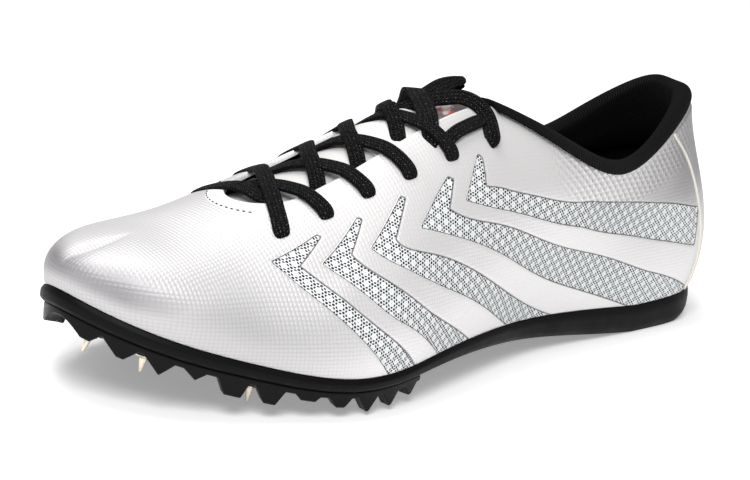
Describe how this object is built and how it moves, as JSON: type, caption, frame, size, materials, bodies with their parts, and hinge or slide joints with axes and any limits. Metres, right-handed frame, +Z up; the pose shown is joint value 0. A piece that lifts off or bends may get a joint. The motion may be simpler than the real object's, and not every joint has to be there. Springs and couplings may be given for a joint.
{
  "type": "track spike shoe",
  "caption": "Low sprint shoe with a hollow laced upper, a toothed forefoot plate and short steel spikes, standing empty.",
  "frame": {"origin": "on the ground under the middle of the shoe's plan", "axes": "+X to the toe, +Y to the lateral (outer) side, +Z up"},
  "size_m": [0.2848, 0.0962, 0.0917],
  "materials": {
    "silver_film": "pearly silver synthetic film with a fine embossed grid",
    "black_rubber": "matte",
    "black_cloth": "matte woven",
    "white_leather": "smooth satin",
    "black_knit": "ribbed knit",
    "black_lace": "flat woven",
    "black_plastic": "satin moulded",
    "steel": "warm plated steel"
  },
  "bodies": {
    "root": {"upper": "silver_film", "sole": "black_rubber", "insole": "black_cloth", "tongue": "white_leather", "collar_lining": "black_knit", "spike_plate": "black_plastic", "lace_bar": "black_lace", "lace_cross_1": "black_lace", "lace_cross_2": "black_lace", "lace_cross_3": "black_lace", "lace_cross_4": "black_lace", "lace_cross_5": "black_lace", "spike_1": "steel", "spike_2": "steel", "spike_3": "steel", "spike_4": "steel", "spike_5": "steel", "spike_6": "steel", "spike_7": "steel"}
  },
  "joints": []
}
